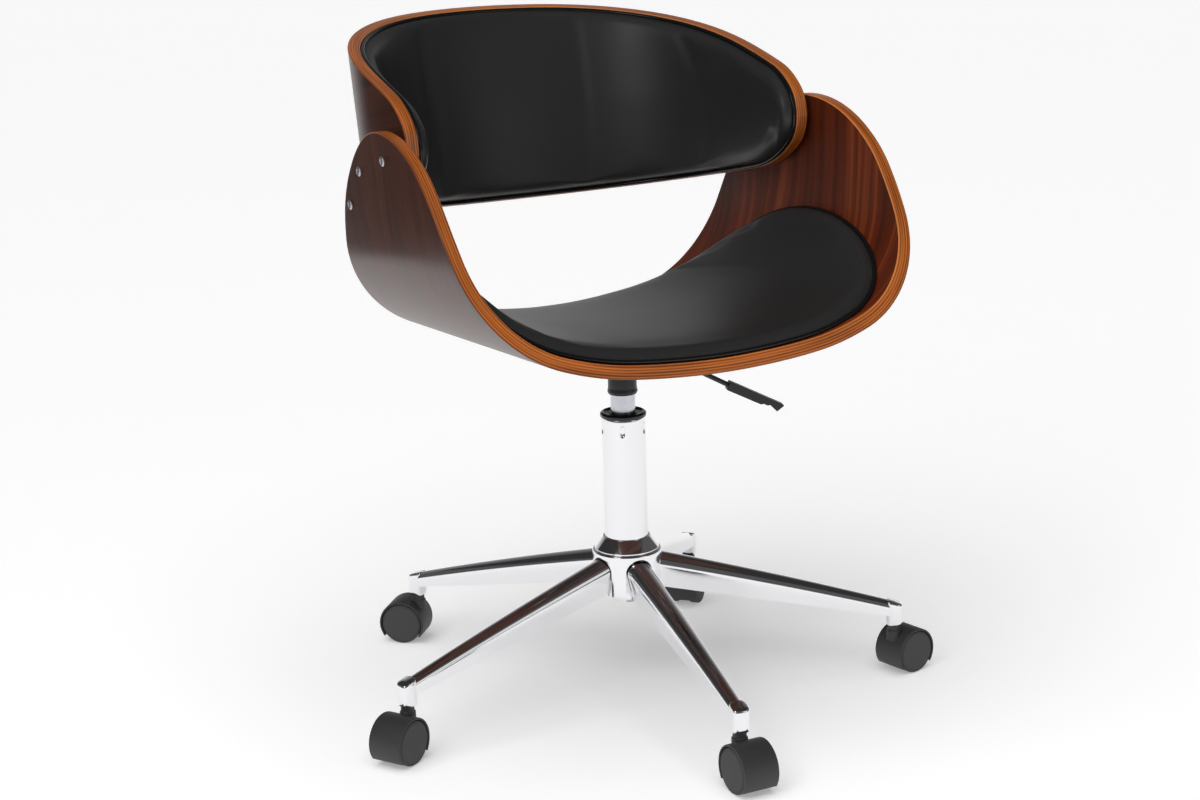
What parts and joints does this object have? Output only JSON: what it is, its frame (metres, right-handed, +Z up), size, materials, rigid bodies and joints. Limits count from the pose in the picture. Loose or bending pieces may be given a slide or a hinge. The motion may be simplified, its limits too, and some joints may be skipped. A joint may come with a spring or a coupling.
{
  "type": "swivel office chair",
  "caption": "Swivel office chair with a bent plywood seat-and-arm shell, an oval plywood back, black upholstered pads, a gas lift and a chrome star base on twin-wheel casters.",
  "frame": {"origin": "on the floor under the column axis", "axes": "+Z up along the column, -Y the way the seat faces, -X the sitter's right"},
  "size_m": [0.6831, 0.7011, 0.7656],
  "materials": {
    "walnut_ply": "satin",
    "black_leather": "satin",
    "chrome": "polished",
    "black_plastic": "matte",
    "wheel_plastic": "matte",
    "black_steel": "satin",
    "screw_steel": "satin",
    "grey_steel": "satin",
    "black_rubber": "matte"
  },
  "bodies": {
    "base": {"column_tube": "chrome", "guide_bush": "black_plastic", "cone_collar": "chrome", "hub": "chrome", "hub_cap": "chrome", "bearing_race": "grey_steel", "arm_1": "chrome", "arm_2": "chrome", "arm_3": "chrome", "arm_4": "chrome", "arm_5": "chrome", "stem_1": "grey_steel", "stem_2": "grey_steel", "stem_3": "grey_steel", "stem_4": "grey_steel", "stem_5": "grey_steel"},
    "spindle": {"piston_rod": "grey_steel", "bump_stop": "black_rubber", "bearing_cage": "black_plastic", "rod_clip": "grey_steel"},
    "seat": {"seat_shell": "walnut_ply", "seat_pad": "black_leather", "back_shell": "walnut_ply", "back_pad": "black_leather", "shell_screws_right": "screw_steel", "shell_screws_left": "screw_steel", "pan_bolts": "screw_steel", "mount_plate": "black_steel", "plate_socket": "black_steel", "lever_pin": "screw_steel", "sleeve": "black_plastic", "gas_cylinder": "grey_steel", "cylinder_gland": "grey_steel"},
    "lever": {"lever_rod": "black_steel", "lever_handle": "black_plastic"},
    "button": {"release_button": "screw_steel"},
    "caster_1": {"caster_hood_1": "black_plastic", "caster_axle_1": "grey_steel"},
    "roller_a_1": {"wheel_a_1": "wheel_plastic"},
    "roller_b_1": {"wheel_b_1": "wheel_plastic"},
    "caster_2": {"caster_hood_2": "black_plastic", "caster_axle_2": "grey_steel"},
    "roller_a_2": {"wheel_a_2": "wheel_plastic"},
    "roller_b_2": {"wheel_b_2": "wheel_plastic"},
    "caster_3": {"caster_hood_3": "black_plastic", "caster_axle_3": "grey_steel"},
    "roller_a_3": {"wheel_a_3": "wheel_plastic"},
    "roller_b_3": {"wheel_b_3": "wheel_plastic"},
    "caster_4": {"caster_hood_4": "black_plastic", "caster_axle_4": "grey_steel"},
    "roller_a_4": {"wheel_a_4": "wheel_plastic"},
    "roller_b_4": {"wheel_b_4": "wheel_plastic"},
    "caster_5": {"caster_hood_5": "black_plastic", "caster_axle_5": "grey_steel"},
    "roller_a_5": {"wheel_a_5": "wheel_plastic"},
    "roller_b_5": {"wheel_b_5": "wheel_plastic"}
  },
  "joints": [
    {"name": "seat_swivel", "type": "hinge", "parent": "base", "child": "spindle", "pos_m": [0, 0, 0.12], "axis": [0, 0, 1], "continuous": true},
    {"name": "seat_lift", "type": "slide", "parent": "spindle", "child": "seat", "axis": [0, 0, 1], "range_m": [-0.015, 0.075]},
    {"name": "lever_pivot", "type": "hinge", "parent": "seat", "child": "lever", "pos_m": [0.03195, -0.01163, 0.395], "axis": [-0.342, -0.9397, 0], "range_deg": [0, 5], "stiffness_Nm_per_rad": 2},
    {"name": "button_press", "type": "slide", "parent": "seat", "child": "button", "axis": [0, 0, -1], "range_m": [0, 0.0032], "stiffness_N_per_m": 400},
    {"name": "caster_swivel_1", "type": "hinge", "parent": "base", "child": "caster_1", "pos_m": [-0.03778, -0.30769, 0.05], "axis": [0, 0, 1], "continuous": true},
    {"name": "wheel_roll_a_1", "type": "hinge", "parent": "caster_1", "child": "roller_a_1", "pos_m": [-0.03809, -0.32519, 0.025], "axis": [-0.9998, 0.0175, 0], "continuous": true},
    {"name": "wheel_roll_b_1", "type": "hinge", "parent": "caster_1", "child": "roller_b_1", "pos_m": [-0.03809, -0.32519, 0.025], "axis": [-0.9998, 0.0175, 0], "continuous": true},
    {"name": "caster_swivel_2", "type": "hinge", "parent": "base", "child": "caster_2", "pos_m": [0.28096, -0.13101, 0.05], "axis": [0, 0, 1], "continuous": true},
    {"name": "wheel_roll_a_2", "type": "hinge", "parent": "caster_2", "child": "roller_a_2", "pos_m": [0.29819, -0.12797, 0.025], "axis": [0.1736, -0.9848, 0], "continuous": true},
    {"name": "wheel_roll_b_2", "type": "hinge", "parent": "caster_2", "child": "roller_b_2", "pos_m": [0.29819, -0.12797, 0.025], "axis": [0.1736, -0.9848, 0], "continuous": true},
    {"name": "caster_swivel_3", "type": "hinge", "parent": "base", "child": "caster_3", "pos_m": [0.21142, 0.22672, 0.05], "axis": [0, 0, 1], "continuous": true},
    {"name": "wheel_roll_a_3", "type": "hinge", "parent": "caster_3", "child": "roller_a_3", "pos_m": [0.19904, 0.21435, 0.025], "axis": [-0.7071, 0.7071, 0], "continuous": true},
    {"name": "wheel_roll_b_3", "type": "hinge", "parent": "caster_3", "child": "roller_b_3", "pos_m": [0.19904, 0.21435, 0.025], "axis": [-0.7071, 0.7071, 0], "continuous": true},
    {"name": "caster_swivel_4", "type": "hinge", "parent": "base", "child": "caster_4", "pos_m": [-0.15029, 0.27113, 0.05], "axis": [0, 0, 1], "continuous": true},
    {"name": "wheel_roll_a_4", "type": "hinge", "parent": "caster_4", "child": "roller_a_4", "pos_m": [-0.1635, 0.28261, 0.025], "axis": [0.6561, 0.7547, 0], "continuous": true},
    {"name": "wheel_roll_b_4", "type": "hinge", "parent": "caster_4", "child": "roller_b_4", "pos_m": [-0.1635, 0.28261, 0.025], "axis": [0.6561, 0.7547, 0], "continuous": true},
    {"name": "caster_swivel_5", "type": "hinge", "parent": "base", "child": "caster_5", "pos_m": [-0.3043, -0.05915, 0.05], "axis": [0, 0, 1], "continuous": true},
    {"name": "wheel_roll_a_5", "type": "hinge", "parent": "caster_5", "child": "roller_a_5", "pos_m": [-0.31931, -0.06816, 0.025], "axis": [-0.515, 0.8572, 0], "continuous": true},
    {"name": "wheel_roll_b_5", "type": "hinge", "parent": "caster_5", "child": "roller_b_5", "pos_m": [-0.31931, -0.06816, 0.025], "axis": [-0.515, 0.8572, 0], "continuous": true}
  ],
  "couplings": [
    {"joint": "button_press", "follows": "lever_pivot", "m_per_rad": 0.036}
  ]
}
